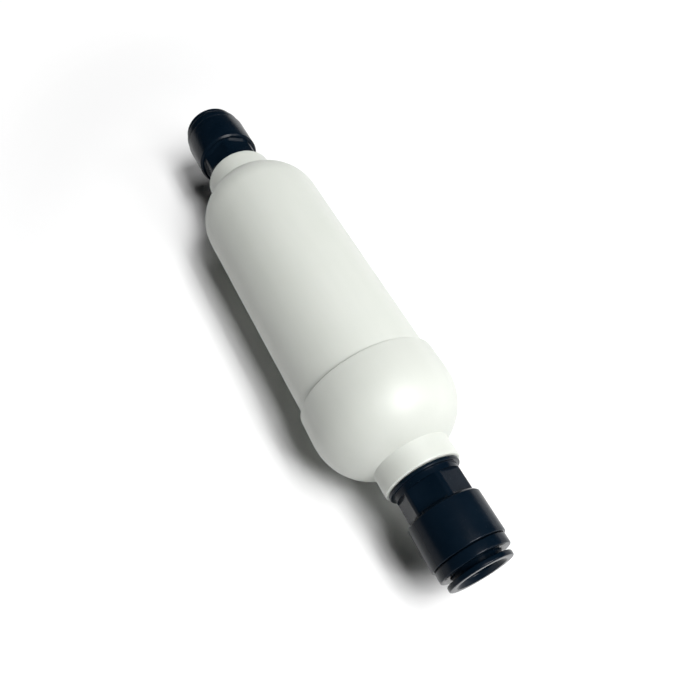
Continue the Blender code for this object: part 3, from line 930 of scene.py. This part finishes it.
def make_layer(name, node, low, high, finish, rows, depth):
    """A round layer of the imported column, its skin sunk by depth(point)."""
    rim = 0.6 * MM
    corners = [(low, 0.0)]
    corners += [(low, MEDIA_RADIUS * i / rows) for i in range(1, rows)]
    corners += [(low, MEDIA_RADIUS, rim)]
    side_rows = max(2, round((high - low) / MEDIA_RADIUS * rows))
    corners += [(low + (high - low) * i / side_rows, MEDIA_RADIUS) for i in range(1, side_rows)]
    corners += [(high, MEDIA_RADIUS, rim)]
    corners += [(high, MEDIA_RADIUS * i / rows) for i in range(rows - 1, 0, -1)]
    corners += [(high, 0.0)]
    outline = rounded(corners)
    middle = (low + high) / 2
    steps = 6 * rows  # near tau times rows, so the faces at the rim are about square
    loops = np.empty((steps, len(outline), 3))
    for j in range(steps):
        angle = tau * j / steps
        for i, (x, r) in enumerate(outline):
            point = Vector((x, r * sin(angle), r * cos(angle)))
            sink = depth(point)
            on_side = near_end(r / MEDIA_RADIUS, 1.0, SIDE_BAND)
            on_face = near_end(abs(x - middle) / (high - low), 0.5, FACE_BAND)
            x -= sink * on_face * (1 if x > middle else -1)
            r = max(0.0, r - sink * on_side)
            loops[j, i] = (x, r * sin(angle), r * cos(angle))
    return lofted_piece(name, loops, ROOT, node, finish)


def felt_depth(point):
    """Low tufts."""
    return FELT_RELIEF * (0.5 + 0.5 * noise.noise(point / FELT_TUFT))


def foam_depth(point):
    """Open pores: deep in the middle of each cell, flush on the struts between."""
    near, far = noise.voronoi(point / FOAM_CELL)[0][:2]
    return FOAM_RELIEF * min(1.0, far - near)


def carbon_depth(point):
    """Packed grains: each stands proud and falls away to the crevices round it."""
    near, far = noise.voronoi(point / CARBON_GRAIN)[0][:2]
    facet = CARBON_FACET_SHARE * noise.noise(point / CARBON_FACET)
    return CARBON_RELIEF * (0.5 - 0.5 * min(1.0, CREVICE_SLOPE * (far - near)) + facet)


def make_media(felt, foam, carbon, plastic):
    """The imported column, from the inlet plate to the outlet plate."""
    make_plate("inlet_spreader", "inlet_diffuser_plate", INLET_PLATE_X, 1, plastic)
    make_plate("outlet_strainer", "outlet_support_plate", OUTLET_PLATE_X, -1, plastic)
    layers = (  # name, node, finish, rows across the radius, skin, fill if it is a pad
        ("inlet_sponge", "inlet_foam_pad", foam, 60, foam_depth, 0.9),
        ("inlet_felt", "inlet_felt_pad", felt, 40, felt_depth, 0.8),
        ("outlet_felt", "outlet_felt_pad", felt, 40, felt_depth, 0.8),
        ("carbon_grains", "carbon_bed", carbon, 48, carbon_depth, None),
    )
    for name, node, finish, rows, depth, fill in layers:
        low, high = (corner.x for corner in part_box(node))
        made = make_layer(name, node, low, high, finish, rows, depth)


# ---------------------------------------------------------------- stage


def make_stage(finish):
    """The table, level with the underside of the cap."""
    mesh = bpy.data.meshes.new("table")
    half = FLOOR_SIZE / 2
    low = -CAP_RADIUS
    corners = [(-half, -half, low), (half, -half, low), (half, half, low), (-half, half, low)]
    mesh.from_pydata(corners, [], [(0, 1, 2, 3)])
    mesh.materials.append(finish)
    table = bpy.data.objects.new("table", mesh)
    bpy.context.scene.collection.objects.link(table)


def make_camera():
    """The photo's camera, found by fitting the filter's outline."""
    data = bpy.data.cameras.new("camera")
    data.lens = CAMERA_LENS
    data.sensor_width = CAMERA_SENSOR
    data.clip_start = CAMERA_NEAREST
    camera = bpy.data.objects.new("camera", data)
    bpy.context.scene.collection.objects.link(camera)
    level = cos(CAMERA_ELEVATION)
    back = Vector((level * sin(CAMERA_AZIMUTH), -level * cos(CAMERA_AZIMUTH), sin(CAMERA_ELEVATION)))
    camera.location = CAMERA_AIM + back * CAMERA_DISTANCE
    camera.rotation_euler = back.to_track_quat("Z", "Y").to_euler()
    bpy.context.scene.camera = camera


def softbox(name, place, size, power, matt, gloss):
    """A rectangular light that faces the filter, its longer side along X."""
    data = bpy.data.lights.new(name, "AREA")
    data.shape = "RECTANGLE"
    data.size, data.size_y = size
    data.energy = power
    light = bpy.data.objects.new(name, data)
    back = Vector(place).normalized()
    across = Vector((1.0, 0.0, 0.0)) - back * back.x
    across.normalize()
    up = back.cross(across)
    light.matrix_world = Matrix.Translation(place) @ Matrix((across, up, back)).transposed().to_4x4()
    light.visible_diffuse = matt
    light.visible_glossy = gloss
    bpy.context.scene.collection.objects.link(light)


def make_lights():
    """The softboxes, and a white surround that only the camera sees."""
    for light in SOFTBOXES:
        softbox(*light)
    world = bpy.data.worlds.new("studio")
    bpy.context.scene.world = world
    world.use_nodes = True
    background = world.node_tree.nodes["Background"]
    background.inputs["Color"].default_value = (1.0, 1.0, 1.0, 1.0)
    background.inputs["Strength"].default_value = 1.0
    world.cycles_visibility.diffuse = False
    world.cycles_visibility.glossy = False
    bpy.context.scene.view_settings.view_transform = "Standard"


make_camera()
finishes = {
    "white_shell": white_shell(),
    "black_acetal": black_acetal(),
    "black_rubber": black_rubber(),
    "stainless_steel": stainless_steel(),
    "white_nylon": white_nylon(),
    "white_felt": white_felt(),
    "grey_foam": grey_foam(),
    "granular_carbon": granular_carbon(),
}

make_bottle("white_shell")
make_cap("white_shell")
for end in SIDES:
    make_connector_body(end, "black_acetal")
    make_end_ring(end, "black_acetal")
    make_collet(end, "black_acetal")
    make_grab_ring(end, "stainless_steel")
    make_seals(end, "black_rubber")
    make_washer(end, "white_nylon")
make_media("white_felt", "grey_foam", "granular_carbon", "white_nylon")
make_stage(table_with_painted_glow())
make_lights()
